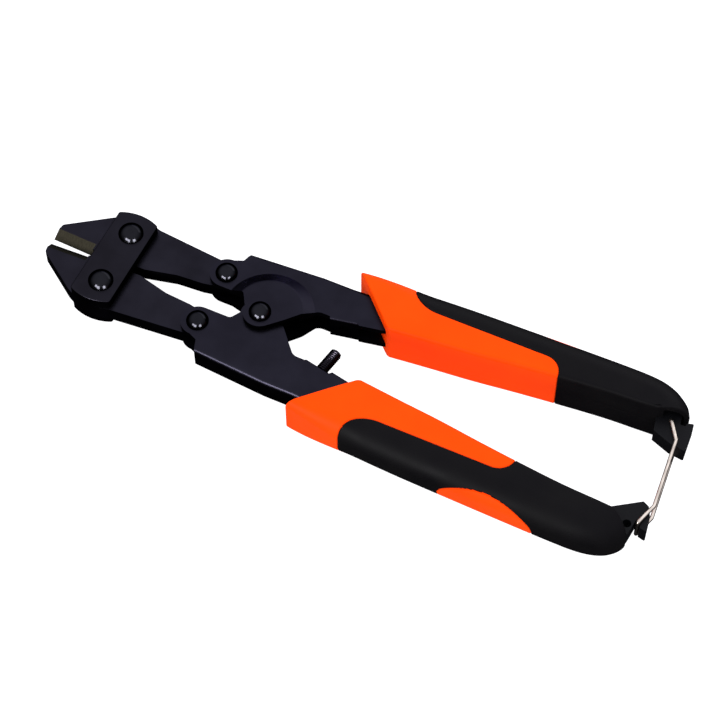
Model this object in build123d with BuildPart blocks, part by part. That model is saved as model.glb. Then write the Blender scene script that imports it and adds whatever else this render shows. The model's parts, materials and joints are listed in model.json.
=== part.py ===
from build123d import *
import os
from math import asin, cos, pi, radians, sin

# Eight-inch compound bolt cutters, lying flat with the latch bail closed.
# Working frame: the centre pivot is the Z axis and the mid-plane of the jaws is Z = 0.
# +X runs from the jaws to the handle ends and +Y to the handle that carries the bail.
# Sizes are millimetres. Each half is drawn on the +Y side and mirrored for the -Y side.

# Linkage
pin_offset = 9.8          # jaw pins and tail pins, sideways from the centre line
tail_reach = 16.4         # centre pivot to tail pins, along X
link_length = 33.3        # tail pins to jaw pins, along X
closing_turn = 4.0        # degrees that each handle still turns until the blades meet
jaw_turn_ratio = 0.505    # degrees that a jaw turns for each degree of its handle

# Jaws
jaw_thick = 5.0
blade_reach = 23.0        # jaw pins to the nose, along X
blade_length = 13.8       # ground cutting edge
bevel_width = 3.0
nose_height = 5.7
nose_lean = 0.8
cheek_front = 9.1         # front end of the round cheek, ahead of the jaw pin
cheek_reach = 7.5         # crest of the cheek, sideways from the jaw pin
cheek_crest = 2.2         # its crest, ahead of the jaw pin
cheek_drop = 2.4          # its front end, below the crest
cheek_rear, cheek_rear_drop = 6.6, 0.7
relief_end = 9.0          # rear end of the relief behind the blade, past the jaw pin
neck_rear, neck_front, neck_drop = 5.6, 14.1, 0.6   # inner edge of the neck, ahead of the tail pin
nose_round = 1.2
inner_relief = 1.3        # inner edge behind the blade, from the centre line
tail_inner = 4.3          # inner edge ahead of the tail pin, from the centre line
tail_round = 4.4
edge_clear = 0.02         # from each edge to the centre line when the blades meet

# Fishplates
fish_thick = 3.0
fish_width = 13.6
fish_ahead = 0.6          # middle of the plate, ahead of the jaw pins
fish_corner = 6.0         # corners, sideways from the jaw pins
fish_bow = 1.6
fish_round, fish_edge = 0.9, 0.4

# Sheet-steel frames
sheet = 1.8
play = 0.1                # between flat faces that slide on each other
lobe_round = 5.2          # nose lobe round the tail pin
frame_outer = 21.4
shoulder_x, shoulder_half = -12.5, 19.8
shoulder_run = 24.0       # from the shoulder to the full width, along X
nose_step = 1.2           # from the nose lobe up to the shoulder
slot_end_x, slot_half = -7.9, 4.6
slot_slope = 2.4          # slope at the slot's end, along X
slot_round, shoulder_round = 1.5, 0.8
throat_front_x, throat_front_half = 8.1, 0.6
throat_rear_x, throat_rear_half = 15.4, 8.8
throat_round = 3.2
tab_x, tab_half = 19.7, 8.1
tab_length, tab_turn = 8.8, 11.0
tab_hole, tab_gap, tab_fold = 1.65, 0.3, 1.0
disc_round = 6.2          # inner frame, round the centre pivot
boss_round = 5.3          # raised lobe of the outer frame, round the centre pivot
dish_x, dish_half, dish_round = 1.7, 2.3, 10.2
dish_slope = 7.6          # the dish is this much wider at its foot
dish_wall = 0.5
dish_rim = 2.0
dish_swing_clear = 8.9    # free round the centre pivot under the raised lobe
fold_round = 1.6
arm_margin = 2.6          # plastic between the steel arm and the grip's inner face
arm_inset = 25.0          # end of the steel arm, ahead of the grip's heel
arm_front_x, arm_cover = 35.6, 0.85
arm_slope = 9.0           # run over which the arm draws in behind the grip's wall
arm_spread = 4.0          # outer edge of the arm at its end, past the frame's outer edge
arm_step = 0.45           # the arm is this much wider than the tab beside it
wall_lean = 0.2

# Rivets and the stop screw (radii unless said)
jaw_shank, tail_shank, centre_shank = 2.25, 2.0, 2.25
jaw_head, tail_head, centre_head = 3.9, 3.45, 3.45
head_rise = 2.9
foot_clear = 0.05         # from the centre rivet's lower head to the resting plane
head_rim = 0.35
running_clear = 0.05
open_pivot_clear = 0.36   # in the one hole that the linkage leaves loose
under_head = 0.05
spacer_wall = 1.2
screw_round, screw_reach, screw_tip = 1.9, 9.4, 0.7

# Grips
grip_half = 8.25          # half thickness: the grips stand on this height
flat_spare = 0.1          # taken off the top and the underside, which leaves them flat
grip_front_x, grip_length = 21.3, 107.3
grip_front_outer, grip_front_inner = 26.6, 9.8
grip_nose_run = 17.0      # slope of the front face, along X
grip_rear_outer, grip_rear_inner = 31.0, 18.8
grip_outer_bow, grip_inner_bow = 1.3, 0.7
grip_sections = 5
side_round, edge_round = 6.0, 1.5
heel_run, heel_drop = 11.5, 5.8
heel_mid_run, heel_mid_drop = 3.6, 2.3
mouth_run, mouth_drop = 7.0, 8.0
soft_front_x, soft_front_run = 39.6, 10.0
soft_line = 21.2          # seam between sleeve and overmould, from the centre line
seam_inset = 37.6         # rear end of the sleeve, ahead of the heel
seam_round = 5.6
window_x, window_half = 87.5, 15.2
window_low, window_rise, window_depth = 3.2, 8.7, 3.6

# Hook caps and the bail (edges and fingertips as distances past the heel and from the centre line)
web_half = 2.8
tongue_length = 15.0
bail_wire = 0.6
bail_side = 0.25          # from each leg to the web
bail_bend = 0.8
eye_inset, eye_half = 2.1, 18.8
eye_depth = 2.0
bar_half = 17.9           # crossbar of the closed bail, from the centre line
kink_run, kink_drop = 3.9, 6.2
knee_reach, knee_half = 4.0, 10.8
notch_reach = 1.7         # hook notch, past the heel
notch_side = 0.85
upper_notch_end, lower_notch_end = 18.8, 16.6
notch_flare, notch_mouth = 0.5, 22.0
finger_slant, finger_round = 0.6, 0.4
tongue_margin = 2.2
upper_edge = ((-7.0, 20.2), (-5.6, 13.6), (0.4, 11.35), (5.4, 10.7))
upper_tip = (4.6, 20.6)
lower_edge = ((-6.6, 15.2), (0.6, 10.2), (2.6, 11.2), (4.1, 14.2))
lower_tip = (5.0, 19.4)
lanyard_hole = 1.3
lanyard_inset, lanyard_half = 1.2, 19.1

# How far cutting outlines reach past what they cut, and how near an edge counts as found
cut_spare, cut_reach = 2.0, 8.0
near = 0.01

# Worked out from the sizes above
tail_pin_x = -tail_reach
jaw_pin_x = tail_pin_x - link_length
nose_x = jaw_pin_x - blade_reach
blade_end_x = nose_x + blade_length
jaw_half = jaw_thick / 2
plate_in = jaw_half + play
plate_out = plate_in + sheet
raised_in = plate_out + play
raised_out = raised_in + sheet
fish_out = plate_in + fish_thick
grip_rear_x = grip_front_x + grip_length
leg_half = web_half + bail_side + bail_wire
closing = radians(closing_turn)
jaw_closing = radians(closing_turn * jaw_turn_ratio)
tail_spread = tail_reach * sin(closing) - pin_offset * (1 - cos(closing))
low_head_rise = grip_half - raised_out - under_head - foot_clear

pieces = []


def keep(piece, name):
    """Label a finished piece and list it for export."""
    piece.label = name
    pieces.append(piece)


def edge_half(x):
    """Cutting edge from the centre line, so that both edges close flat on each other."""
    lever = (tail_pin_x - x) * sin(jaw_closing)
    return pin_offset - (pin_offset + tail_spread - edge_clear - lever) / cos(jaw_closing)


def along(x, x0, x1, y0, y1, bow):
    """Sideways place at x on a bowed line from (x0, y0) to (x1, y1)."""
    t = (x - x0) / (x1 - x0)
    return y0 + (y1 - y0) * t + 4 * bow * t * (1 - t)


def grip_inner(x):
    front_x = grip_front_x + grip_nose_run
    return along(x, front_x, grip_rear_x, grip_front_inner, grip_rear_inner, grip_inner_bow)


def grip_outer(x):
    return along(x, grip_front_x, grip_rear_x, grip_front_outer, grip_rear_outer, grip_outer_bow)


# ---------------------------------------------------------------- jaws
cheek_start = (jaw_pin_x - cheek_front, pin_offset + cheek_reach - cheek_drop)
cheek_top = (jaw_pin_x - cheek_crest, pin_offset + cheek_reach)
cheek_end = (jaw_pin_x + cheek_rear, pin_offset + cheek_reach - cheek_rear_drop)

with BuildPart() as upper_jaw:
    with BuildSketch():
        with BuildLine():
            Polyline((nose_x, edge_half(nose_x)), (nose_x + nose_lean, nose_height), cheek_start)
            ThreePointArc(cheek_start, cheek_top, cheek_end)
            Polyline(
                cheek_end,
                (tail_pin_x, pin_offset + tail_round),
                (tail_pin_x, pin_offset - tail_round),
                (tail_pin_x - neck_rear, tail_inner),
                (tail_pin_x - neck_front, tail_inner - neck_drop),
                (jaw_pin_x + relief_end, inner_relief),
                (blade_end_x, inner_relief),
                (blade_end_x, edge_half(blade_end_x)),
                (nose_x, edge_half(nose_x)),
            )
        make_face()
        with Locations((tail_pin_x, pin_offset)):
            Circle(tail_round)
    extrude(amount=jaw_half, both=True)
    fillet(upper_jaw.edges().filter_by(Axis.Z).group_by(Axis.X)[1], nose_round)
    edge_line = Vector(blade_length, edge_half(blade_end_x) - edge_half(nose_x), 0)
    bevel_start = (nose_x, edge_half(nose_x), 0)
    with BuildSketch(Plane(origin=bevel_start, x_dir=(0, 0, -1), z_dir=edge_line)):
        for side in (1, -1):
            with BuildLine():
                Polyline(
                    (0, 0),
                    (side * jaw_thick, 2 * bevel_width),
                    (side * jaw_thick, -bevel_width),
                    (0, -bevel_width),
                    close=True,
                )
            make_face()
    extrude(amount=blade_length, mode=Mode.SUBTRACT)
    with Locations((jaw_pin_x, pin_offset, 0)):
        Hole(jaw_shank + open_pivot_clear)
    with Locations((tail_pin_x, pin_offset, 0)):
        Hole(tail_shank + running_clear)

with BuildPart() as lower_jaw:
    mirror(upper_jaw.part, about=Plane.XZ)
    with Locations((jaw_pin_x, -pin_offset, 0)):
        Cylinder(jaw_shank + 2 * open_pivot_clear, jaw_thick)
        Hole(jaw_shank + running_clear)
keep(upper_jaw.part, "upper_jaw")
keep(lower_jaw.part, "lower_jaw")

# ---------------------------------------------------------------- fishplates
fish_x = jaw_pin_x - fish_ahead
fish_half = pin_offset + fish_corner
with BuildPart() as top_fishplate:
    with BuildSketch(Plane.XY.offset(plate_in)):
        with BuildLine():
            for side in (1, -1):
                ThreePointArc(
                    (fish_x - fish_width / 2, side * fish_half),
                    (fish_x, side * (fish_half + fish_bow)),
                    (fish_x + fish_width / 2, side * fish_half),
                )
                Line(
                    (fish_x + side * fish_width / 2, -fish_half),
                    (fish_x + side * fish_width / 2, fish_half),
                )
        make_face()
        fillet(vertices(), fish_round)
        with Locations((jaw_pin_x, pin_offset), (jaw_pin_x, -pin_offset)):
            Circle(jaw_shank, mode=Mode.SUBTRACT)
    extrude(amount=fish_thick)
    fillet(top_fishplate.faces().sort_by(Axis.Z)[-1].outer_wire().edges(), fish_edge)
with BuildPart() as bottom_fishplate:
    mirror(top_fishplate.part, about=Plane.XY)
keep(top_fishplate.part, "top_fishplate")
keep(bottom_fishplate.part, "bottom_fishplate")

# ---------------------------------------------------------------- sheet-steel frames
arm_end_x = grip_rear_x - arm_inset
arm_outer = frame_outer + arm_spread
tab_end = (tab_x + tab_length * cos(radians(tab_turn)), tab_half + tab_length * sin(radians(tab_turn)))
with BuildSketch() as frame_plan:
    with BuildLine():
        Polyline(
            (tail_pin_x, pin_offset - lobe_round),
            (slot_end_x, slot_half),
            (slot_end_x + slot_slope, throat_front_half),
            (throat_front_x, throat_front_half),
            (throat_rear_x, throat_rear_half),
            (tab_x - tab_gap, throat_rear_half),
            (tab_x, tab_half),
            tab_end,
            (tab_end[0] + arm_step, tab_end[1] - arm_step),
            (arm_front_x, grip_front_inner + arm_cover),
            (arm_front_x + arm_slope, grip_inner(arm_front_x + arm_slope) + arm_margin),
            (arm_end_x, grip_inner(arm_end_x) + arm_margin),
            (arm_end_x, arm_outer),
            (grip_front_x, frame_outer),
            (shoulder_x + shoulder_run, frame_outer),
            (shoulder_x, shoulder_half),
            (shoulder_x - nose_step, pin_offset + lobe_round + nose_step),
            (tail_pin_x, pin_offset + lobe_round),
            close=True,
        )
    make_face()
    fillet(frame_plan.vertices().sort_by_distance((throat_rear_x, throat_rear_half))[0], throat_round)
    fillet(frame_plan.vertices().sort_by_distance((slot_end_x, slot_half))[0], slot_round)
    fillet(frame_plan.vertices().sort_by_distance((shoulder_x, shoulder_half))[0], shoulder_round)
    with Locations((tail_pin_x, pin_offset)):
        Circle(lobe_round)

with BuildSketch() as arm_plan:
    with BuildLine():
        Polyline(
            (grip_front_x - cut_spare, 0),
            (grip_front_x - cut_spare, 2 * frame_outer),
            (arm_end_x + cut_spare, 2 * frame_outer),
            (arm_end_x + cut_spare, 0),
            close=True,
        )
    make_face()
    add(frame_plan.sketch, mode=Mode.INTERSECT)

with BuildSketch() as outer_wall_plan:
    with BuildLine():
        Polyline(
            (shoulder_x, shoulder_half),
            (shoulder_x + shoulder_run, frame_outer),
            (grip_front_x, frame_outer),
            (arm_end_x, arm_outer),
            (arm_end_x, arm_outer - sheet),
            (grip_front_x, frame_outer - sheet),
            (shoulder_x + shoulder_run, frame_outer - sheet),
            (shoulder_x - wall_lean, shoulder_half - sheet),
            close=True,
        )
    make_face()


def add_folds(frame):
    """Outer wall and stop tab of a frame, and the round of its long folds."""
    add(extrude(outer_wall_plan.sketch, plate_out, both=True, mode=Mode.PRIVATE))
    with Locations(Location((tab_x, tab_half, -plate_in + play), (0, 0, tab_turn))):
        Box(tab_length, sheet, plate_in - play + plate_out, align=(Align.MIN, Align.MIN, Align.MIN))
    folds = frame.edges().filter_by(GeomType.LINE).filter_by(lambda e: e.length > tab_length)
    folds = folds.filter_by(lambda e: abs(abs(e.center().Z) - plate_out) < near)
    folds = folds.filter_by(lambda e: e.center().Y > shoulder_half)
    fillet(folds, fold_round)
    tab_middle = (tab_x + tab_length / 2, tab_half + tab_length / 2 * sin(radians(tab_turn)), plate_out)
    fillet(frame.edges().filter_by(GeomType.LINE).sort_by_distance(tab_middle)[0], tab_fold)


with BuildPart() as lower_plates:
    with BuildSketch(Plane.XY.offset(plate_in)):
        add(frame_plan.sketch)
        Circle(disc_round)
        Circle(centre_shank, mode=Mode.SUBTRACT)
        with Locations((tail_pin_x, pin_offset)):
            Circle(tail_shank, mode=Mode.SUBTRACT)
    extrude(amount=sheet)
    mirror(about=Plane.XY)
    add_folds(lower_plates)
    with Locations(Location((tab_x, tab_half, 0), (0, 0, tab_turn))):
        with Locations(Location((tab_length / 2, 0, 0), (90, 0, 0))):
            Hole(screw_round, depth=2 * sheet)
with BuildPart() as lower_frame:
    mirror(lower_plates.part, about=Plane.XZ)
keep(lower_frame.part, "lower_frame")

with BuildPart() as upper_frame:
    with BuildSketch(Plane.XY.offset(plate_in)):
        add(frame_plan.sketch)
        with Locations((dish_x, dish_half)):
            Circle(dish_round - dish_wall, mode=Mode.SUBTRACT)
        Circle(dish_swing_clear, mode=Mode.SUBTRACT)
    extrude(amount=sheet)
    with BuildPart(mode=Mode.PRIVATE) as dish:
        with BuildSketch(Plane.XY.offset(plate_in)):
            add(frame_plan.sketch)
            Circle(boss_round)
            with BuildLine():
                Polyline(
                    (0, 0),
                    (boss_round * cos(pi / 4), -boss_round * sin(pi / 4)),
                    (throat_front_x, throat_front_half),
                    (0, throat_front_half),
                    close=True,
                )
            make_face()
        extrude(amount=raised_out - plate_in)
        with Locations((dish_x, dish_half, plate_in)):
            Cone(
                dish_round + dish_slope,
                dish_round,
                raised_out - plate_in,
                align=(Align.CENTER, Align.CENTER, Align.MIN),
                mode=Mode.INTERSECT,
            )
    add(dish.part)
    with BuildSketch(Plane.XY.offset(plate_in)):
        with Locations((dish_x, dish_half)):
            Circle(dish_round - dish_wall)
        Circle(dish_swing_clear)
    extrude(amount=raised_in - plate_in, mode=Mode.SUBTRACT)
    with Locations((0, 0, plate_in)):
        Hole(centre_shank + running_clear)
    with Locations((tail_pin_x, pin_offset, plate_in)):
        Hole(tail_shank)
    rim = upper_frame.edges().filter_by(GeomType.CIRCLE)
    rim = rim.filter_by(lambda e: abs(e.radius - dish_round) < near and abs(e.center().Z - raised_out) < near)
    fillet(rim, dish_rim)
    mirror(about=Plane.XY)
    add_folds(upper_frame)
    with Locations(Location((tab_x, tab_half, 0), (0, 0, tab_turn))):
        with Locations(Location((tab_length / 2, 0, 0), (90, 0, 0))):
            Hole(tab_hole, depth=2 * sheet)
keep(upper_frame.part, "upper_frame")

# ---------------------------------------------------------------- rivets, spacer and stop screw
def cap_middle(base, height):
    """Point halfway along the arc of a domed cap, as (radius, height above the base)."""
    ball = (base**2 + height**2) / (2 * height)
    half_sweep = asin(base / ball) / 2
    return ball * sin(half_sweep), height - ball * (1 - cos(half_sweep))


def rivet(x, y, shank, seat, head, rise, low_rise):
    """Double-headed rivet: a shank between two domed heads that sit at +seat and -seat."""
    top, low = seat + head_rim, -seat - head_rim
    top_x, top_z = cap_middle(head, rise - head_rim)
    low_x, low_z = cap_middle(head, low_rise - head_rim)
    with BuildPart() as made:
        with BuildSketch(Plane.XZ):
            with BuildLine():
                Line((0, seat + rise), (0, -seat - low_rise))
                ThreePointArc((0, -seat - low_rise), (low_x, low - low_z), (head, low))
                Polyline((head, low), (head, -seat), (shank, -seat), (shank, seat), (head, seat), (head, top))
                ThreePointArc((head, top), (top_x, top + top_z), (0, seat + rise))
            make_face()
        revolve(axis=Axis.Z)
    return made.part.moved(Location((x, y, 0)))


for side, half in ((1, "upper"), (-1, "lower")):
    keep(
        rivet(jaw_pin_x, side * pin_offset, jaw_shank, fish_out, jaw_head, head_rise, grip_half - fish_out),
        half + "_jaw_rivet",
    )
    keep(
        rivet(tail_pin_x, side * pin_offset, tail_shank, plate_out, tail_head, head_rise, head_rise),
        half + "_tail_rivet",
    )
keep(
    rivet(0, 0, centre_shank, raised_out + under_head, centre_head, head_rise, low_head_rise),
    "centre_rivet",
)

with BuildPart() as pivot_spacer:
    Cylinder(centre_shank + spacer_wall, 2 * plate_in)
    Hole(centre_shank)
keep(pivot_spacer.part, "pivot_spacer")

with BuildPart() as stop_screw:
    Cylinder(screw_round, screw_reach + sheet, align=(Align.CENTER, Align.CENTER, Align.MIN))
    fillet(stop_screw.edges().sort_by(Axis.Z)[-1], screw_tip)
    chamfer(stop_screw.edges().sort_by(Axis.Z)[0], screw_tip / 2)
turn = radians(tab_turn)
screw_foot = Vector(
    tab_x + tab_length / 2 * cos(turn) - sheet * sin(turn),
    tab_half + tab_length / 2 * sin(turn) + sheet * cos(turn),
    0,
)
screw_plane = Plane(
    origin=(screw_foot.X, -screw_foot.Y, 0), x_dir=(0, 0, 1), z_dir=(sin(turn), cos(turn), 0)
)
keep(screw_plane.location * stop_screw.part, "stop_screw")

# ---------------------------------------------------------------- grips
with BuildPart() as grip_body:
    for index in range(grip_sections):
        x = grip_front_x - cut_spare + (grip_length + 2 * cut_spare) * index / (grip_sections - 1)
        inner, outer = grip_inner(x), grip_outer(x)
        with BuildSketch(Plane(origin=(x, 0, 0), x_dir=(0, 1, 0), z_dir=(1, 0, 0))) as section:
            with Locations(((inner + outer) / 2, 0)):
                Rectangle(outer - inner, 2 * (grip_half + flat_spare))
            fillet(section.vertices().group_by(Axis.X)[-1], side_round)
            fillet(section.vertices().group_by(Axis.X)[0], edge_round)
    loft()
    slope = (grip_front_outer - grip_front_inner) / grip_nose_run
    heel_mid = (grip_rear_x - heel_mid_run, grip_rear_outer - heel_mid_drop)
    with BuildSketch():
        with BuildLine():
            Polyline(
                (grip_rear_x - heel_run, grip_outer(grip_rear_x - heel_run)),
                (grip_rear_x - heel_run, grip_rear_outer + cut_reach),
                (grip_front_x - cut_reach, grip_front_outer + slope * cut_reach),
                (grip_front_x + grip_nose_run + cut_reach, grip_front_inner - slope * cut_reach),
                (grip_rear_x - mouth_run - cut_reach, grip_front_inner - slope * cut_reach),
                (grip_rear_x - mouth_run, grip_rear_outer - heel_drop - mouth_drop),
                (grip_rear_x, grip_rear_outer - heel_drop),
            )
            ThreePointArc(
                (grip_rear_x, grip_rear_outer - heel_drop),
                heel_mid,
                (grip_rear_x - heel_run, grip_outer(grip_rear_x - heel_run)),
            )
        make_face()
    extrude(amount=grip_half, both=True, mode=Mode.INTERSECT)

seam_x = grip_rear_x - seam_inset
with BuildSketch() as soft_plan:
    with BuildLine():
        Line((soft_front_x, 2 * grip_rear_outer), (soft_front_x, grip_outer(soft_front_x)))
        EllipticalCenterArc(
            (soft_front_x + soft_front_run, grip_outer(soft_front_x)),
            soft_front_run,
            grip_outer(soft_front_x) - soft_line,
            start_angle=180,
            arc_size=90,
        )
        Line((soft_front_x + soft_front_run, soft_line), (seam_x - seam_round, soft_line))
        RadiusArc((seam_x - seam_round, soft_line), (seam_x, soft_line - seam_round), seam_round)
        Polyline(
            (seam_x, soft_line - seam_round),
            (seam_x, 0),
            (grip_rear_x + cut_reach, 0),
            (grip_rear_x + cut_reach, 2 * grip_rear_outer),
            (soft_front_x, 2 * grip_rear_outer),
        )
    make_face()

# Hook caps: a flat web with a tongue inside the grip and a hook finger that points outwards
eye_x = grip_rear_x - eye_inset
notch_x = grip_rear_x + notch_reach


def hook_cap(inner_edge, finger_tip, notch_end, hole_at, hole_round):
    """Hook cap on the +Y side, with its inner edge and fingertip as (past the heel, sideways)."""
    notch_wall = notch_x + notch_side
    with BuildPart() as cap:
        with BuildSketch() as web_plan:
            with BuildLine():
                Polyline(
                    (grip_rear_x - tongue_length, grip_rear_inner + tongue_margin),
                    *[(grip_rear_x + past, half) for past, half in inner_edge],
                    (grip_rear_x + finger_tip[0], finger_tip[1]),
                    (notch_wall, finger_tip[1] - finger_slant),
                    (notch_wall, notch_end),
                    (notch_x - notch_side, notch_end),
                    (notch_x - notch_side - notch_flare, notch_mouth),
                    (grip_rear_x - notch_side, grip_rear_outer - heel_drop),
                    (grip_rear_x - tongue_length, grip_rear_outer - tongue_margin - sheet),
                    close=True,
                )
            make_face()
            fillet(web_plan.vertices().filter_by(lambda v: v.X > grip_rear_x), finger_round)
        extrude(amount=web_half, both=True)
        with Locations((*hole_at, 0)):
            Hole(hole_round)
    return cap.part


with BuildPart() as upper_hook_cap:
    add(hook_cap(upper_edge, upper_tip, upper_notch_end, (eye_x, eye_half), bail_wire + running_clear))
with BuildPart() as lower_hook_cap:
    hole_at = (grip_rear_x - lanyard_inset, lanyard_half)
    mirror(hook_cap(lower_edge, lower_tip, lower_notch_end, hole_at, lanyard_hole), about=Plane.XZ)

with BuildPart() as upper_grip_sleeve:
    add(grip_body.part)
    extrude(soft_plan.sketch, 2 * grip_half, both=True, mode=Mode.SUBTRACT)
    extrude(arm_plan.sketch, plate_out, both=True, mode=Mode.SUBTRACT)
with BuildPart() as upper_grip_inlay:
    add(grip_body.part)
    inlay_floor = (window_x, grip_outer(window_x) - window_depth, -window_low)
    with BuildSketch(Plane(origin=inlay_floor, x_dir=(1, 0, 0), z_dir=(0, 1, 0))):
        Ellipse(window_half, window_rise)
    extrude(amount=2 * window_depth, mode=Mode.INTERSECT)
with BuildPart() as soft_body:
    add(grip_body.part)
    extrude(soft_plan.sketch, 2 * grip_half, both=True, mode=Mode.INTERSECT)
    extrude(arm_plan.sketch, plate_out, both=True, mode=Mode.SUBTRACT)
    add(upper_grip_inlay.part, mode=Mode.SUBTRACT)
with BuildPart() as upper_grip_overmould:
    add(soft_body.part)
    add(upper_hook_cap.part, mode=Mode.SUBTRACT)
with BuildPart() as lower_grip_overmould:
    mirror(soft_body.part, about=Plane.XZ)
    add(lower_hook_cap.part, mode=Mode.SUBTRACT)
with BuildPart() as lower_grip_sleeve:
    mirror(upper_grip_sleeve.part, about=Plane.XZ)
with BuildPart() as lower_grip_inlay:
    mirror(upper_grip_inlay.part, about=Plane.XZ)
keep(upper_grip_sleeve.part, "upper_grip_sleeve")
keep(lower_grip_sleeve.part, "lower_grip_sleeve")
keep(upper_grip_overmould.part, "upper_grip_overmould")
keep(lower_grip_overmould.part, "lower_grip_overmould")
keep(upper_grip_inlay.part, "upper_grip_inlay")
keep(lower_grip_inlay.part, "lower_grip_inlay")
keep(upper_hook_cap.part, "upper_hook_cap")
keep(lower_hook_cap.part, "lower_hook_cap")

# ---------------------------------------------------------------- latch bail
with BuildPart() as latch_bail:
    eye_end = web_half - eye_depth
    half_route = [
        (eye_x, eye_half, eye_end),
        (eye_x, eye_half, leg_half),
        (eye_x + kink_run, eye_half - kink_drop, leg_half),
        (grip_rear_x + knee_reach, -knee_half, leg_half),
        (notch_x, -bar_half, leg_half),
    ]
    other_half = [(x, y, -z) for x, y, z in reversed(half_route)]
    with BuildLine():
        FilletPolyline(*half_route, *other_half, radius=bail_bend)
    with BuildSketch(Plane(origin=half_route[0], z_dir=(0, 0, 1))):
        Circle(bail_wire)
    sweep()
keep(latch_bail.part, "latch_bail")

# ---------------------------------------------------------------- export
# The row frame stands the tool on Z = 0 with its box centred on X = Y = 0.
box = Compound(children=[piece.moved(Location()) for piece in pieces]).bounding_box()
shift = Vector(-box.center().X, -box.center().Y, -box.min.Z)
os.makedirs("parts", exist_ok=True)
for piece in pieces:
    placed = piece.moved(Location(shift))
    placed.label = piece.label
    export_step(placed, f"parts/{piece.label}.step")
print("shift", shift.X, shift.Y, shift.Z, "size", box.size)
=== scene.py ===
import json
import math
import bmesh
import bpy
import numpy as np
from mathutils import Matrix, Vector


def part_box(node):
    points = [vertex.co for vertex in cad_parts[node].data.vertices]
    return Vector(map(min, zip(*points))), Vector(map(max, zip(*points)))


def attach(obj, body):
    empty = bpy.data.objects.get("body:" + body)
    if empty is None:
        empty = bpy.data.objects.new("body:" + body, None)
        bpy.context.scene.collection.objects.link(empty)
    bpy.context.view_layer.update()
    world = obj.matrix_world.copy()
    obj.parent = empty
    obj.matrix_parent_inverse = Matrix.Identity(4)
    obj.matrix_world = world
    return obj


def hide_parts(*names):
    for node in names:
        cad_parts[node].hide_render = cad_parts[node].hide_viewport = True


# Compact bolt cutters lying flat. Lengths in this script are millimetres from the centre pivot:
# +X towards the handle ends, +Y towards the handle with the bail, +Z up.

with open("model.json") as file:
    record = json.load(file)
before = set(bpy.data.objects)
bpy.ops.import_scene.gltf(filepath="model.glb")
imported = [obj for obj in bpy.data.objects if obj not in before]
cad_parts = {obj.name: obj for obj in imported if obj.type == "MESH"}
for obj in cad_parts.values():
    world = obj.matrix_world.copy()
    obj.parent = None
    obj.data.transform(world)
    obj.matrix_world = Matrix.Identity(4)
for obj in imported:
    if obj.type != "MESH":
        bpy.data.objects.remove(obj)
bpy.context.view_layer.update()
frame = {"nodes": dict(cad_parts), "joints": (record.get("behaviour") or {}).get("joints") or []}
nodes = frame["nodes"]
joints = {joint["name"]: joint for joint in frame["joints"]}
pivot = np.array(joints["handle_pivot"]["pos_m"])

# Grip outline in plan, for the grip on the +Y side: the two long walls, then each handle's heel
inner_line = [
    (38.3, 9.8), (52, 11.3), (65, 12.6), (79, 14.4), (92, 15.9), (106, 17.3), (117, 17.9), (122.2, 18.3),
]
outer_line = [
    (21.3, 26.6), (30, 27.9), (39.5, 28.9), (58, 29.9), (77, 30.4), (95, 30.8), (108, 31.0), (115.5, 30.9),
]
upper_heel = [(120.5, 30.3), (124.4, 29.0), (127.2, 27.3), (129.8, 25.0), (131.4, 22.1)]
lower_heel = [(120.5, 30.2), (124.4, 28.8), (127.0, 26.9), (128.6, 24.9), (129.2, 23.2)]
grip_run = 105.0

# Grip cross-section: a small round on the inner edge and a broad one on the outer edge, which
# grows from front_outer_round over the first part of the grip
grip_half = 8.25
inner_round = 1.3
outer_round, outer_drop = 7.4, 6.6
front_outer_round, round_grows_by = 3.0, 0.22
least_inner_round, least_outer_round = 0.25, 0.3
outer_round_share = 0.92
nose_round = 1.1
steepest_end = 0.5

# Crown of the top: how far it falls by the outer wall, and the share of the width where it is highest
top_crown, crown_peak = 0.25, 0.45
crown_above = 1.0

# Rounded ends of the grip, and the pocket in its back end
lip = 0.45
head_steps = (0.0, 0.06, 0.15, 0.3, 0.45, 0.7, 0.9, 1.1)
tail_steps = (1.0, 0.7, 0.35, 0.12, 0.0)
shell_wall, shell_thickness = 1.3, 0.9
pocket_depth = 5.0
pocket_corner, pocket_corner_run = 1.2, 0.001

# Fineness of the grip mesh, in points
stations = 330
line_points, tangent_points, span_points = 4000, 20, 24
inner_wall_points, inner_round_points, top_points, outer_round_points, outer_wall_points = 15, 7, 26, 26, 5

# Seam between the hard sleeve and the soft overmould
soft_front_x, soft_front_run, soft_front_y = 39.6, 10.0, 29.1
soft_line, seam_end_x, seam_corner = 21.2, 91.0, 5.6
seam_starts_y, seam_stops_y = 60.0, -10.0
front_points, corner_points = 40, 24
groove_half, groove_depth = 0.32, 0.3
snap = 0.004

# Outline of the side inlay, which is only on the outer wall
inlay_x, inlay_z, inlay_half, inlay_rise, inlay_foot = 87.5, -3.2, 15.2, 8.7, -7.2
outer_wall_y = 22.0
far_away = 50.0

# Parting line of the mould, along the inner wall
parting_from_x, parting_depth, parting_reach = 92.5, 0.1, 0.6

# Stop screw
screw_round, screw_pitch, thread_depth, screw_length = 1.9, 0.7, 0.3, 11.2
screw_turn = math.radians(11.0)
screw_points, rows_per_pitch = 40, 10
flank_gain, crest_share = 1.35, 0.15
end_taper, end_slope = 0.55, 0.8

# Slopes of the ground bevels on the jaws, as the share of the face's normal that points up or down
steepest_bevel, flattest_bevel = 0.5, 0.96


def to_row(points):
    """Millimetres from the centre pivot to metres in the row's frame."""
    return np.asarray(points, dtype=float) / 1000.0 + pivot


def linear(code):
    """sRGB hex code to linear RGBA."""
    parts = [int(code[i:i + 2], 16) / 255.0 for i in (1, 3, 5)]
    return [c / 12.92 if c <= 0.04045 else ((c + 0.055) / 1.055) ** 2.4 for c in parts] + [1.0]


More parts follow.
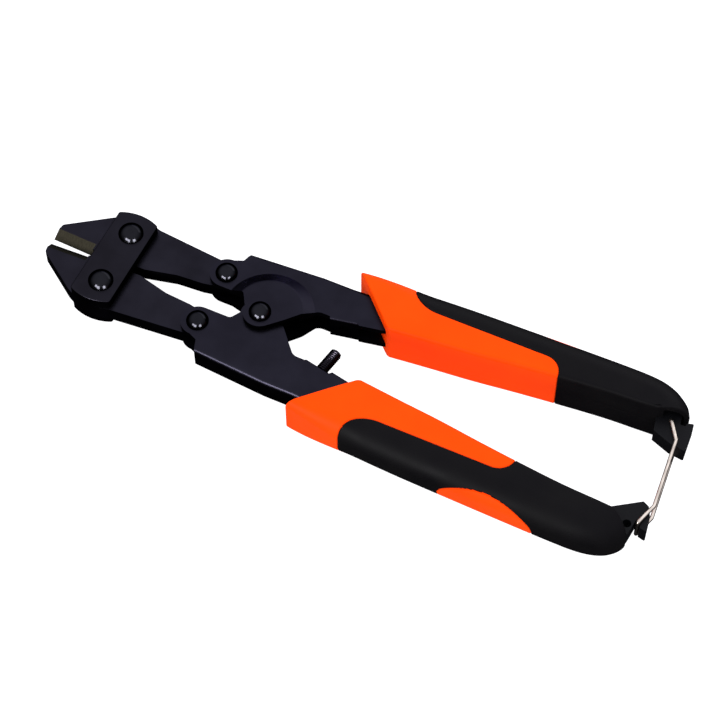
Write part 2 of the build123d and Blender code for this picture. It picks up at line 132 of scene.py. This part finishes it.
# ---------------------------------------------------------------- finishes
def add(tree, kind, feeds=(), **settings):
    """Adds a node, with its settings, and sets or links its inputs."""
    made = tree.nodes.new(kind)
    for name, value in settings.items():
        setattr(made, name, value)
    for socket, value in dict(feeds).items():
        if isinstance(value, bpy.types.NodeSocket):
            tree.links.new(value, made.inputs[socket])
        else:
            made.inputs[socket].default_value = value
    return made


def finish(name, build):
    """New material whose surface is what build(tree) returns."""
    material = bpy.data.materials.new(name)
    material.use_nodes = True
    tree = material.node_tree
    tree.nodes.clear()
    shader = build(tree)
    add(tree, "ShaderNodeOutputMaterial", {"Surface": shader.outputs[0]})
    return material


def grain(tree, size_mm, detail=2.0, stretch=(1.0, 1.0, 1.0)):
    """Noise value whose blotches are about size_mm across."""
    place = add(tree, "ShaderNodeTexCoord")
    scaled = add(tree, "ShaderNodeMapping", {"Vector": place.outputs["Object"], "Scale": stretch})
    return add(tree, "ShaderNodeTexNoise", {
        "Vector": scaled.outputs["Vector"],
        "Scale": 1000.0 / size_mm,
        "Detail": detail,
    })


def spread(tree, value, low, high):
    """Stretches the middle of a noise value over low to high."""
    return add(tree, "ShaderNodeMapRange", {
        "Value": value,
        "From Min": 0.3,
        "From Max": 0.7,
        "To Min": low,
        "To Max": high,
    }).outputs["Result"]


def tint(tree, value, dark, light):
    """Colour that runs from dark to light with a noise value."""
    share = spread(tree, value, 0.0, 1.0)
    mix = add(tree, "ShaderNodeMix", {0: share, 6: linear(dark), 7: linear(light)}, data_type="RGBA")
    return mix.outputs[2]


def dent(tree, value, depth_mm):
    """Bump from a noise value, depth_mm deep."""
    return add(tree, "ShaderNodeBump", {
        "Height": value,
        "Distance": depth_mm / 1000.0,
        "Strength": 1.0,
    }).outputs["Normal"]


def blackened(tree, dark, light, low, high, grit_mm, depth_mm):
    """Black-oxide steel: dark, faintly blue, and a soft metallic sheen that varies in patches."""
    patches = grain(tree, 9.0, 4.0)
    grit = grain(tree, grit_mm)
    return add(tree, "ShaderNodeBsdfPrincipled", {
        "Base Color": tint(tree, patches.outputs["Fac"], dark, light),
        "Metallic": 1.0,
        "Specular Tint": linear("#8c8c8c"),
        "Roughness": spread(tree, patches.outputs["Fac"], low, high),
        "Normal": dent(tree, grit.outputs["Fac"], depth_mm),
    })


def forged_black(tree):
    """Drop-forged jaw steel, tumbled and blackened: satin, with slightly uneven sheen."""
    return blackened(tree, "#151419", "#1b1a20", 0.27, 0.36, 0.5, 0.012)


def jaw_finish(tree):
    """Blackened forging with the two edge bevels ground bare: olive-grey steel, cross-ground."""
    black = forged_black(tree)
    facing = add(tree, "ShaderNodeNewGeometry")
    parts = add(tree, "ShaderNodeSeparateXYZ", {"Vector": facing.outputs["True Normal"]})
    upright = add(tree, "ShaderNodeMath", {0: parts.outputs["Z"]}, operation="ABSOLUTE")
    above = add(tree, "ShaderNodeMath", {0: upright.outputs[0], 1: steepest_bevel}, operation="GREATER_THAN")
    below = add(tree, "ShaderNodeMath", {0: upright.outputs[0], 1: flattest_bevel}, operation="LESS_THAN")
    on_bevel = add(tree, "ShaderNodeMath", {0: above.outputs[0], 1: below.outputs[0]}, operation="MULTIPLY")
    marks = grain(tree, 1.2, 3.0, (8.0, 1.0, 1.0))
    ground = add(tree, "ShaderNodeBsdfPrincipled", {
        "Base Color": tint(tree, marks.outputs["Fac"], "#191712", "#23211a"),
        "Metallic": 1.0,
        "Roughness": spread(tree, marks.outputs["Fac"], 0.34, 0.5),
        "Normal": dent(tree, marks.outputs["Fac"], 0.02),
    })
    return add(tree, "ShaderNodeMixShader", {
        0: on_bevel.outputs[0],
        1: black.outputs[0],
        2: ground.outputs[0],
    })


def plate_finish(tree):
    """Blanked plate steel, blackened: a little darker than the forgings."""
    return blackened(tree, "#141317", "#19181d", 0.28, 0.37, 0.4, 0.01)


def sheet_finish(tree):
    """Folded sheet steel with a blue-black satin coat: even, with a faint orange-peel texture."""
    return blackened(tree, "#16151b", "#1b1a21", 0.27, 0.36, 0.7, 0.014)


def rivet_finish(tree):
    """Turned rivet steel, polished and blued: glossy black."""
    return blackened(tree, "#141417", "#1a1a1d", 0.11, 0.16, 0.8, 0.003)


def screw_finish(tree):
    """Oiled black-oxide machine screw: glossy thread flanks."""
    return blackened(tree, "#1c1a1f", "#29262c", 0.18, 0.3, 0.4, 0.01)


def orange_nylon(tree):
    """Moulded orange nylon: saturated and satin, with a fine spark-eroded mould texture."""
    mould = grain(tree, 0.35)
    patches = grain(tree, 14.0, 3.0)
    return add(tree, "ShaderNodeBsdfPrincipled", {
        "Base Color": tint(tree, patches.outputs["Fac"], "#ea3e01", "#ee4202"),
        "Roughness": spread(tree, patches.outputs["Fac"], 0.46, 0.54),
        "Specular IOR Level": 0.02,
        "IOR": 1.53,
        "Normal": dent(tree, mould.outputs["Fac"], 0.01),
    })


def black_rubber(tree):
    """Thermoplastic rubber: soft matt black with fine pebbling."""
    pebble = grain(tree, 0.5)
    patches = grain(tree, 12.0, 3.0)
    return add(tree, "ShaderNodeBsdfPrincipled", {
        "Base Color": tint(tree, patches.outputs["Fac"], "#09080a", "#0d0c0d"),
        "Roughness": spread(tree, patches.outputs["Fac"], 0.48, 0.6),
        "Specular IOR Level": 0.03,
        "IOR": 1.5,
        "Normal": dent(tree, pebble.outputs["Fac"], 0.02),
    })


def black_abs(tree):
    """Moulded black ABS: harder and smoother than the rubber, with a weak sheen."""
    mould = grain(tree, 0.4)
    return add(tree, "ShaderNodeBsdfPrincipled", {
        "Base Color": tint(tree, mould.outputs["Fac"], "#08080a", "#0b0b0d"),
        "Roughness": 0.42,
        "Specular IOR Level": 0.05,
        "IOR": 1.54,
        "Normal": dent(tree, mould.outputs["Fac"], 0.008),
    })


def drawn_wire(tree):
    """Bright drawn spring wire: warm grey metal with fine draw lines along its length."""
    draw = grain(tree, 0.5, 2.0, (1.0, 0.12, 1.0))
    return add(tree, "ShaderNodeBsdfPrincipled", {
        "Base Color": tint(tree, draw.outputs["Fac"], "#91877e", "#bfb5aa"),
        "Metallic": 1.0,
        "Roughness": spread(tree, draw.outputs["Fac"], 0.22, 0.36),
        "Normal": dent(tree, draw.outputs["Fac"], 0.01),
    })


def light_table(tree):
    """White acrylic light table: matt, and lit from below so that no shadow shows on it."""
    return add(tree, "ShaderNodeBsdfPrincipled", {
        "Base Color": linear("#8c8c8c"),
        "Roughness": 0.9,
        "Specular IOR Level": 0.1,
        "Emission Color": linear("#ffffff"),
        "Emission Strength": 1.0,
    })


jaw_steel = finish("blackened_forged_jaw", jaw_finish)
plate_steel = finish("blackened_plate", plate_finish)
sheet_steel = finish("blue_black_sheet", sheet_finish)
rivet_steel = finish("blued_rivet", rivet_finish)
screw_steel = finish("oiled_black_screw", screw_finish)
nylon = finish("orange_nylon", orange_nylon)
rubber = finish("black_rubber", black_rubber)
abs_plastic = finish("black_abs", black_abs)
wire_steel = finish("drawn_wire", drawn_wire)

for names, material in (
    (("upper_jaw", "lower_jaw"), jaw_steel),
    (("top_fishplate", "bottom_fishplate"), plate_steel),
    (("upper_frame", "lower_frame"), sheet_steel),
    (("upper_jaw_rivet", "lower_jaw_rivet", "upper_tail_rivet", "lower_tail_rivet"), rivet_steel),
    (("centre_rivet", "pivot_spacer"), rivet_steel),
    (("upper_hook_cap", "lower_hook_cap"), abs_plastic),
    (("latch_bail",), wire_steel),
):
    for name in names:
        nodes[name].data.materials.clear()
        nodes[name].data.materials.append(material)


# ---------------------------------------------------------------- meshes
def show(mesh_name, bm, material, body, node, smooth_under=35.0):
    """Turns a bmesh in pivot millimetres into a piece that rides on a body in a node's place."""
    mesh = bpy.data.meshes.new(mesh_name)
    bm.to_mesh(mesh)
    bm.free()
    coords = np.empty(len(mesh.vertices) * 3)
    mesh.vertices.foreach_get("co", coords)
    mesh.vertices.foreach_set("co", to_row(coords.reshape(-1, 3)).ravel())
    mesh.materials.append(material)
    piece = bpy.data.objects.new(mesh_name, mesh)
    bpy.context.scene.collection.objects.link(piece)
    mesh.shade_smooth()
    mesh.set_sharp_from_angle(angle=math.radians(smooth_under))
    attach(piece, body)
    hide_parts(node)
    return piece


def skin(bm, rings):
    """Closed skin over rings of vertices, with a flat face at each end."""
    for one, two in zip(rings[:-1], rings[1:]):
        for i in range(len(one)):
            j = (i + 1) % len(one)
            bm.faces.new((one[i], one[j], two[j], two[i]))
    bm.faces.new(rings[0])
    bm.faces.new(list(reversed(rings[-1])))
    bmesh.ops.recalc_face_normals(bm, faces=bm.faces)


def smooth_line(corners, count):
    """Evenly spaced points on a Catmull-Rom curve through the corners."""
    first = 2 * np.array(corners[0]) - corners[1]
    last = 2 * np.array(corners[-1]) - corners[-2]
    knots = np.array([first, *corners, last])
    path = []
    for a, b, c, d in zip(knots[:-3], knots[1:-2], knots[2:-1], knots[3:]):
        for t in np.linspace(0, 1, span_points, endpoint=False):
            bend = (2 * a - 5 * b + 4 * c - d) * t**2
            twist = (3 * b - a - 3 * c + d) * t**3
            path.append(0.5 * (2 * b + (c - a) * t + bend + twist))
    path.append(knots[-2])
    path = np.array(path)
    run = np.concatenate([[0], np.cumsum(np.linalg.norm(np.diff(path, axis=0), axis=1))])
    return np.array([[np.interp(s, run, path[:, k]) for k in (0, 1)] for s in np.linspace(0, run[-1], count)])


def grip_ring(width, reach, fullness, inset, nose):
    """Half of a grip's cross-section, from the inner wall over the top, as (distance across, height)."""
    quarter = math.pi / 2
    half = grip_half - inset
    a_in = max(inner_round - inset, least_inner_round)
    wide = front_outer_round + (outer_round - front_outer_round) * fullness
    deep = front_outer_round + (outer_drop - front_outer_round) * fullness
    room = (width - 2 * inset - nose - a_in) * outer_round_share
    a_out = min(max(wide * reach - inset, least_outer_round), room)
    b_out = max(deep - inset, least_outer_round)
    low, high = inset + nose, width - inset
    ring = [(low, z) for z in np.linspace(0, half - a_in, inner_wall_points)[:-1]]
    ring += [
        (low + a_in * (1 - math.cos(t)), half - a_in * (1 - math.sin(t)))
        for t in np.linspace(0, quarter, inner_round_points)
    ]
    ring += [(t, half) for t in np.linspace(low + a_in, high - a_out, top_points)[1:]]
    ring += [
        (high - a_out * (1 - math.sin(t)), half - b_out * (1 - math.cos(t)))
        for t in np.linspace(0, quarter, outer_round_points)[1:]
    ]
    ring += [(high, z) for z in np.linspace(half - b_out, 0, outer_wall_points)[1:]]
    return np.array(ring)


def grip_rows():
    """Rows along a grip, as (share of the run, inset from the outline), and then into the pocket."""
    head = [(s / grip_run, lip * max(1 - s / lip, 0) ** 2) for s in head_steps]
    tail = [(1 - s / 2 / grip_run, lip * (1 - s) ** 2) for s in tail_steps]
    middle = [(u, 0.0) for u in np.linspace(head[-1][0], tail[0][0], stations)[1:-1]]
    wall = shell_wall + lip
    floor = 1 - pocket_depth / grip_run
    pocket = [(1.0, wall), (floor, wall), (floor - pocket_corner_run, wall + pocket_corner)]
    return head + middle + tail + pocket


def grip_body(heel):
    """Whole closed grip on the +Y side, before it is parted along its seams."""
    inner = smooth_line(inner_line, line_points + 1)
    outer = smooth_line(outer_line + heel, line_points + 1)
    bm = bmesh.new()
    rings = []
    for u, inset in grip_rows():
        place = int(round(u * line_points))
        a, b = inner[place], outer[place]
        before = outer[max(place - tangent_points, 0)]
        after = outer[min(place + tangent_points, line_points)]
        tangent = (after - before) / np.linalg.norm(after - before)
        width = np.linalg.norm(b - a)
        across = (b - a) / width
        reach = 1 / max(abs(across[0] * -tangent[1] + across[1] * tangent[0]), steepest_end)
        fullness = min(u / round_grows_by, 1.0)
        fullness = fullness * fullness * (3 - 2 * fullness)
        nearness = max(1 - u * grip_run / nose_round, 0.0)
        nose = nose_round * (1 - math.sqrt(1 - nearness**2))
        ring = grip_ring(width, reach, fullness, inset, nose)
        full = np.concatenate([ring, [(t, -z) for t, z in ring[-2:0:-1]]])
        crown = top_crown * ((full[:, 0] / width - crown_peak) / (1 - crown_peak)) ** 2
        heights = full[:, 1] - np.sign(full[:, 1]) * crown * (np.abs(full[:, 1]) > crown_above)
        rings.append([bm.verts.new((*(a + across * t), z)) for t, z in zip(full[:, 0], heights)])
    skin(bm, rings)
    return bm


def seam_line():
    """The seam in plan, from outside the grip, round the soft part's nose and back to the middle."""
    points = [(soft_front_x, seam_starts_y)]
    for t in np.linspace(0, math.pi / 2, front_points):
        points.append((
            soft_front_x + soft_front_run * (1 - math.cos(t)),
            soft_front_y - (soft_front_y - soft_line) * math.sin(t),
        ))
    for t in np.linspace(0, math.pi / 2, corner_points):
        points.append((
            seam_end_x - seam_corner * (1 - math.sin(t)),
            soft_line - seam_corner * (1 - math.cos(t)),
        ))
    points.append((seam_end_x, seam_stops_y))
    return np.array(points)


def beyond_seam(coords):
    """Distance from the seam, positive on the soft part's side."""
    line = seam_line()
    a, b = line[:-1], line[1:]
    d = b - a
    p = coords[:, None, :2] - a[None]
    t = np.clip((p * d).sum(-1) / (d * d).sum(-1), 0, 1)
    off = p - t[..., None] * d
    gap = np.linalg.norm(off, axis=-1)
    near = gap.argmin(axis=1)
    pick = np.arange(len(coords))
    side = d[near, 0] * p[pick, near, 1] - d[near, 1] * p[pick, near, 0]
    return np.where(side > 0, 1.0, -1.0) * gap[pick, near]


def beyond_inlay(coords):
    """Distance from the inlay's outline, an ellipse with a flat foot, negative inside it."""
    x, z = coords[:, 0] - inlay_x, coords[:, 2] - inlay_z
    k0 = np.sqrt((x / inlay_half) ** 2 + (z / inlay_rise) ** 2)
    k1 = np.sqrt((x / inlay_half**2) ** 2 + (z / inlay_rise**2) ** 2)
    away = np.maximum(k0 * (k0 - 1) / np.maximum(k1, 1e-6), inlay_foot - coords[:, 2])
    return np.where(coords[:, 1] > outer_wall_y, away, far_away)


def beyond_parting(coords):
    """Distance from the mould's parting line along the middle of the black inner wall."""
    inner = np.array(inner_line)
    wall = np.interp(coords[:, 0], inner[:, 0], inner[:, 1])
    on_wall = (coords[:, 1] < wall + parting_reach) & (coords[:, 0] > parting_from_x)
    return np.where(on_wall, coords[:, 2], far_away)


def part_along(bm, field, level):
    """Cuts every face along the line where field equals level."""
    bm.verts.ensure_lookup_table()
    bm.verts.index_update()
    values = field(np.array([v.co for v in bm.verts])) - level
    values[np.abs(values) < snap] = 0.0
    cut = [v for v in bm.verts if values[v.index] == 0.0]
    crossing = [e for e in bm.edges if values[e.verts[0].index] * values[e.verts[1].index] < 0]
    for edge in crossing:
        first = edge.verts[0]
        a, b = values[first.index], values[edge.verts[1].index]
        cut.append(bmesh.utils.edge_split(edge, first, a / (a - b))[1])
    bmesh.ops.connect_verts(bm, verts=cut)


def press_groove(bm, field, depth):
    """Presses a V-shaped groove along the line where field is zero."""
    bm.verts.ensure_lookup_table()
    bm.normal_update()
    values = np.abs(field(np.array([v.co for v in bm.verts])))
    for vert, gap in zip(bm.verts, values):
        if gap < groove_half:
            vert.co -= vert.normal * depth * (1 - gap / groove_half)


def keep_faces(source, wanted):
    """Copy of the faces in wanted, thickened inwards."""
    bm = source.copy()
    bm.faces.ensure_lookup_table()
    doomed = [face for face, stay in zip(bm.faces, wanted) if not stay]
    bmesh.ops.delete(bm, geom=doomed, context="FACES")
    bmesh.ops.solidify(bm, geom=bm.faces[:], thickness=shell_thickness)
    return bm


def make_grip(half, side, heel):
    """Sleeve, overmould and inlay of one grip; side is -1 for the -Y handle."""
    body = grip_body(heel)
    for field in (beyond_seam, beyond_inlay):
        for level in (-groove_half, 0.0, groove_half):
            part_along(body, field, level)
    press_groove(body, beyond_seam, groove_depth)
    press_groove(body, beyond_inlay, groove_depth)
    press_groove(body, beyond_parting, parting_depth)
    body.faces.ensure_lookup_table()
    centres = np.array([face.calc_center_median() for face in body.faces])
    soft, inlay = beyond_seam(centres) > 0, beyond_inlay(centres) < 0
    for part, wanted, material, slot in (
        ("grip_sleeve", ~soft, nylon, "orange_plastic"),
        ("grip_overmould", soft & ~inlay, rubber, "black_rubber"),
        ("grip_inlay", inlay, nylon, "orange_plastic"),
    ):
        bm = keep_faces(body, wanted)
        if side < 0:
            bmesh.ops.scale(bm, vec=(1, -1, 1), verts=bm.verts)
            bmesh.ops.reverse_faces(bm, faces=bm.faces)
        show(f"{half}_{part}_shell", bm, material, f"{half}_handle", f"{half}_{part}")
    body.free()


def make_stop_screw():
    """Threaded stop, turned from its foot in the tab to its rounded end."""
    low, high = (np.array(corner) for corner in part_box("stop_screw"))
    middle = (low + high) / 2
    axis = Vector((math.sin(screw_turn), math.cos(screw_turn), 0))
    up = Vector((0, 0, 1))
    sideways = axis.cross(up)
    foot = Vector((middle - pivot) * 1000.0) - axis * screw_length / 2
    bm = bmesh.new()
    rows = int(screw_length / screw_pitch * rows_per_pitch)
    rings = []
    for row in range(rows + 1):
        along = screw_length * row / rows
        to_end = min(along, screw_length - along)
        ring = []
        for step in range(screw_points):
            turn = 2 * math.pi * step / screw_points
            phase = (along / screw_pitch - step / screw_points) % 1.0
            flank = abs(2 * phase - 1)
            radius = screw_round - thread_depth * min(max(flank_gain * flank - crest_share, 0), 1)
            radius -= max(end_taper - to_end, 0) * end_slope
            outwards = up * math.cos(turn) + sideways * math.sin(turn)
            ring.append(bm.verts.new(foot + axis * along + outwards * radius))
        rings.append(ring)
    skin(bm, rings)
    return show("threaded_stop_screw", bm, screw_steel, "lower_handle", "stop_screw", 40.0)


make_grip("upper", 1, upper_heel)
make_grip("lower", -1, lower_heel)
screw = make_stop_screw()


# ---------------------------------------------------------------- table, light and camera
def towards(azimuth, elevation):
    """Unit vector from the centre pivot, with azimuth in degrees from straight in front to the right."""
    a, e = math.radians(azimuth), math.radians(elevation)
    return Vector((math.sin(a) * math.cos(e), -math.cos(a) * math.cos(e), math.sin(e)))


def make_table():
    """Light table, large enough to fill the view."""
    half = 6.0
    corners = [(-half, -half, 0), (half, -half, 0), (half, half, 0), (-half, half, 0)]
    mesh = bpy.data.meshes.new("table_top")
    mesh.from_pydata(corners, [], [(0, 1, 2, 3)])
    mesh.materials.append(finish("white_table", light_table))
    table = bpy.data.objects.new("table_top", mesh)
    bpy.context.scene.collection.objects.link(table)
    table.visible_glossy = False


def make_dome():
    """Soft overhead light: bright above, falling off towards the horizon."""
    world = bpy.data.worlds.new("studio")
    bpy.context.scene.world = world
    world.use_nodes = True
    tree = world.node_tree
    tree.nodes.clear()
    place = add(tree, "ShaderNodeTexCoord")
    parts = add(tree, "ShaderNodeSeparateXYZ", {"Vector": place.outputs["Generated"]})
    rise = add(tree, "ShaderNodeMapRange", {
        "Value": parts.outputs["Z"],
        "From Min": -0.2,
        "From Max": 0.78,
        "To Min": 0.03,
        "To Max": 2.1,
    }, interpolation_type="SMOOTHSTEP")
    sky = add(tree, "ShaderNodeBackground", {"Color": linear("#f6f7ff"), "Strength": rise.outputs["Result"]})
    add(tree, "ShaderNodeOutputWorld", {"Surface": sky.outputs[0]})


def softbox(name, azimuth, elevation, width, height, power, fills=False, only=()):
    """Area light, in metres and watts, that faces the pivot. It shows in reflections, or fills as
    diffuse light only. Where only lists pieces, it lights just those."""
    distance = 0.9
    data = bpy.data.lights.new(name, "AREA")
    data.shape = "RECTANGLE"
    data.size, data.size_y = width, height
    data.energy = power
    lamp = bpy.data.objects.new(name, data)
    bpy.context.scene.collection.objects.link(lamp)
    lamp.visible_diffuse, lamp.visible_glossy = fills, not fills
    back = towards(azimuth, elevation)
    lamp.location = back * distance
    lamp.rotation_euler = (-back).to_track_quat("-Z", "Y").to_euler()
    if only:
        lit = bpy.data.collections.new(f"{name}_lights")
        for piece in only:
            lit.objects.link(piece)
        lamp.light_linking.receiver_collection = lit


def make_camera():
    """Long lens, looking down on the tool from the front right."""
    back, distance = towards(25.14, 56.83), 0.7
    target = Vector(to_row((33.2, 0.8, 0.0)))
    data = bpy.data.cameras.new("camera")
    data.lens, data.sensor_width = 115.6, 36.0
    camera = bpy.data.objects.new("camera", data)
    bpy.context.scene.collection.objects.link(camera)
    camera.location = target + back * distance
    camera.rotation_euler = (-back).to_track_quat("-Z", "Y").to_euler()
    bpy.context.scene.camera = camera


make_table()
make_dome()
turned = [screw] + [piece for name, piece in nodes.items() if name.endswith("_rivet")]
softbox("left_softbox", 2.0, 13.0, 0.32, 0.36, 20.0, only=turned)
softbox("right_softbox", 50.0, 13.0, 0.32, 0.36, 20.0, only=turned)
softbox("front_softbox", -18.0, 19.0, 0.24, 0.26, 12.0)
softbox("back_softbox", 172.0, 22.0, 1.2, 0.35, 3.0)
softbox("front_fill", -5.0, 9.0, 0.5, 0.1, 1.4, fills=True)
make_camera()
bpy.context.scene.view_settings.view_transform = "Standard"
